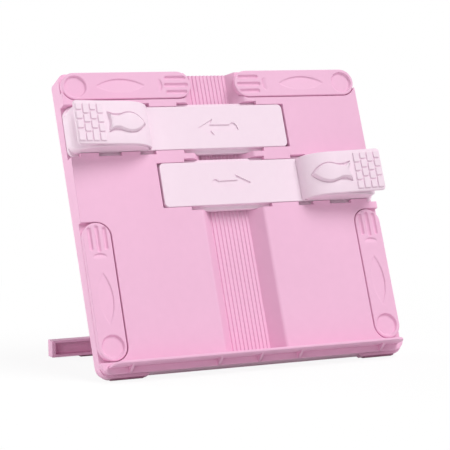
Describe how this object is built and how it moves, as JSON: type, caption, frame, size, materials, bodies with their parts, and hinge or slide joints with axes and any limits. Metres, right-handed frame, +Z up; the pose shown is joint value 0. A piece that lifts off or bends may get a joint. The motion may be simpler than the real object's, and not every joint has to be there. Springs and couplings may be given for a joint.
{
  "type": "book stand",
  "caption": "Leaning book stand with a ribbed spine channel, a page ledge, sliding arms with sprung page clips, swing-out wings and a folding rear leg.",
  "frame": {"origin": "on the desk, under the middle of the stand's bounding box", "axes": "+X to the right of a reader in front of the stand, +Y away from the reader, +Z up"},
  "size_m": [0.271, 0.1678, 0.2445],
  "materials": {
    "pink_plastic": "satin",
    "pale_plastic": "satin",
    "steel": "bright zinc",
    "rubber": "matte"
  },
  "bodies": {
    "board": {"front_board": "pink_plastic", "back_cover": "pink_plastic", "cover_screws": "steel", "front_foot_pads": "rubber", "leg_hinge_pin": "steel", "leg_hinge_washers": "steel", "leg_pin_clip": "steel"},
    "upper_arm": {"upper_arm": "pale_plastic", "upper_clip_pin": "steel", "upper_clip_spring": "steel"},
    "upper_clip": {"upper_clip": "pale_plastic"},
    "lower_arm": {"lower_arm": "pale_plastic", "lower_clip_pin": "steel", "lower_clip_spring": "steel"},
    "lower_clip": {"lower_clip": "pale_plastic"},
    "top_left_wing": {"top_left_wing": "pink_plastic", "top_left_wing_washer": "steel", "top_left_wing_screw": "steel"},
    "top_right_wing": {"top_right_wing": "pink_plastic", "top_right_wing_washer": "steel", "top_right_wing_screw": "steel"},
    "left_wing": {"left_wing": "pink_plastic", "left_wing_washer": "steel", "left_wing_screw": "steel"},
    "right_wing": {"right_wing": "pink_plastic", "right_wing_washer": "steel", "right_wing_screw": "steel"},
    "leg": {"rear_leg": "pink_plastic", "leg_foot_pads": "rubber"}
  },
  "joints": [
    {"name": "leg_fold", "type": "hinge", "parent": "board", "child": "leg", "pos_m": [0, 0.00928, 0.14936], "axis": [1, 0, 0], "range_deg": [-45.05, 0]},
    {"name": "upper_arm_slide", "type": "slide", "parent": "board", "child": "upper_arm", "axis": [-1, 0, 0], "range_m": [0, 0.09]},
    {"name": "lower_arm_slide", "type": "slide", "parent": "board", "child": "lower_arm", "axis": [1, 0, 0], "range_m": [0, 0.09]},
    {"name": "upper_clip_press", "type": "hinge", "parent": "upper_arm", "child": "upper_clip", "pos_m": [-0.098, -0.00394, 0.19968], "axis": [0, -0.3502, -0.9367], "range_deg": [0, 12], "stiffness_Nm_per_rad": 0.5, "springref_deg": -20.05},
    {"name": "lower_clip_press", "type": "hinge", "parent": "lower_arm", "child": "lower_clip", "pos_m": [0.098, -0.02138, 0.15303], "axis": [0, 0.3502, 0.9367], "range_deg": [0, 12], "stiffness_Nm_per_rad": 0.5, "springref_deg": -20.05},
    {"name": "top_left_wing_swing", "type": "hinge", "parent": "board", "child": "top_left_wing", "pos_m": [-0.123, 0.0161, 0.23329], "axis": [0, -0.9367, 0.3502], "range_deg": [0, 90]},
    {"name": "top_right_wing_swing", "type": "hinge", "parent": "board", "child": "top_right_wing", "pos_m": [0.123, 0.0161, 0.23329], "axis": [0, 0.9367, -0.3502], "range_deg": [0, 90]},
    {"name": "left_wing_swing", "type": "hinge", "parent": "board", "child": "left_wing", "pos_m": [-0.123, -0.06094, 0.02722], "axis": [0, -0.9367, 0.3502], "range_deg": [0, 90]},
    {"name": "right_wing_swing", "type": "hinge", "parent": "board", "child": "right_wing", "pos_m": [0.123, -0.06094, 0.02722], "axis": [0, 0.9367, -0.3502], "range_deg": [0, 90]}
  ]
}
